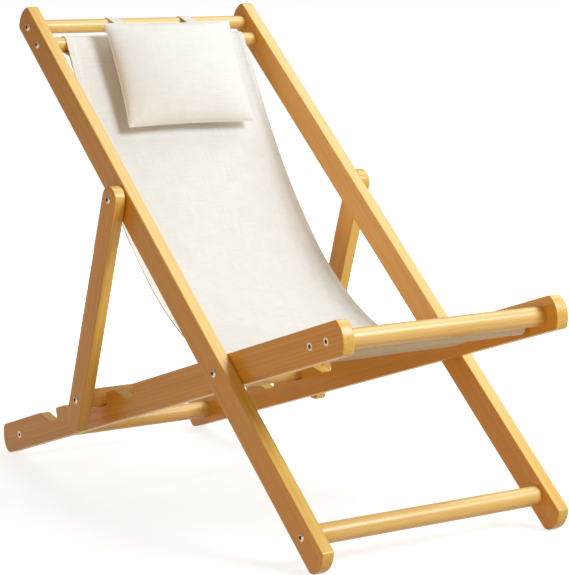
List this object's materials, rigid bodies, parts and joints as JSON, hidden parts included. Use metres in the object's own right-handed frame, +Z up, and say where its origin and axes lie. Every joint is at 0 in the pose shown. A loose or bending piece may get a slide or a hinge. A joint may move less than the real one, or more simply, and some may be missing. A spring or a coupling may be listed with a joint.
{
  "type": "folding recliner",
  "caption": "Folding wooden deck recliner with a hanging fabric sling, notched seat rails, a prop frame that sets the back's angle, and a padded head pillow.",
  "frame": {"origin": "middle of the bounding box's footprint, on the floor", "axes": "+X to the right across the chair as seen from its front, +Y from the front (-Y) to the rear, +Z up"},
  "size_m": [0.5976, 1.2716, 0.9492],
  "materials": {
    "rail_wood": "satin, planed and oiled, with long grain",
    "dowel_wood": "satin, turned, with fine grain along its length",
    "steel": "satin zinc",
    "insert_brass": "plain",
    "canvas": "matt plain weave",
    "pillow_fabric": "matt plain weave, soft filling"
  },
  "bodies": {
    "back_frame": {"back_rail_left": "rail_wood", "back_rail_right": "rail_wood", "top_dowel": "dowel_wood", "sling_top_dowel": "dowel_wood", "foot_dowel": "dowel_wood", "back_dowel_bolts": "steel", "back_dowel_inserts": "insert_brass", "pivot_washers": "steel", "prop_pivot_bolts": "steel", "prop_pivot_inserts": "insert_brass", "prop_pivot_washers": "steel", "sling": "canvas", "sling_top_sleeve": "canvas"},
    "seat_frame": {"seat_rail_left": "rail_wood", "seat_rail_right": "rail_wood", "front_dowel": "dowel_wood", "sling_front_dowel": "dowel_wood", "rear_dowel": "dowel_wood", "seat_dowel_bolts": "steel", "seat_dowel_inserts": "insert_brass", "pivot_bolts": "steel", "pivot_inserts": "insert_brass", "sling_front_sleeve": "canvas"},
    "prop_frame": {"prop_strut_left": "rail_wood", "prop_strut_right": "rail_wood", "prop_dowel": "dowel_wood", "prop_dowel_bolts": "steel", "prop_dowel_inserts": "insert_brass"},
    "head_pillow": {"head_pillow": "pillow_fabric", "pillow_strap_left": "pillow_fabric", "pillow_strap_right": "pillow_fabric"}
  },
  "joints": [
    {"name": "seat_fold", "type": "hinge", "parent": "back_frame", "child": "seat_frame", "pos_m": [0, -0.27031, 0.29872], "axis": [1, 0, 0], "range_deg": [-114, 0], "deforming": ["sling"]},
    {"name": "prop_swing", "type": "hinge", "parent": "back_frame", "child": "prop_frame", "pos_m": [0, 0.0585, 0.58656], "axis": [1, 0, 0], "range_deg": [0, 104.8]},
    {"name": "pillow_flip", "type": "hinge", "parent": "back_frame", "child": "head_pillow", "pos_m": [0, 0.42568, 0.908], "axis": [-1, 0, 0], "range_deg": [0, 240]}
  ]
}
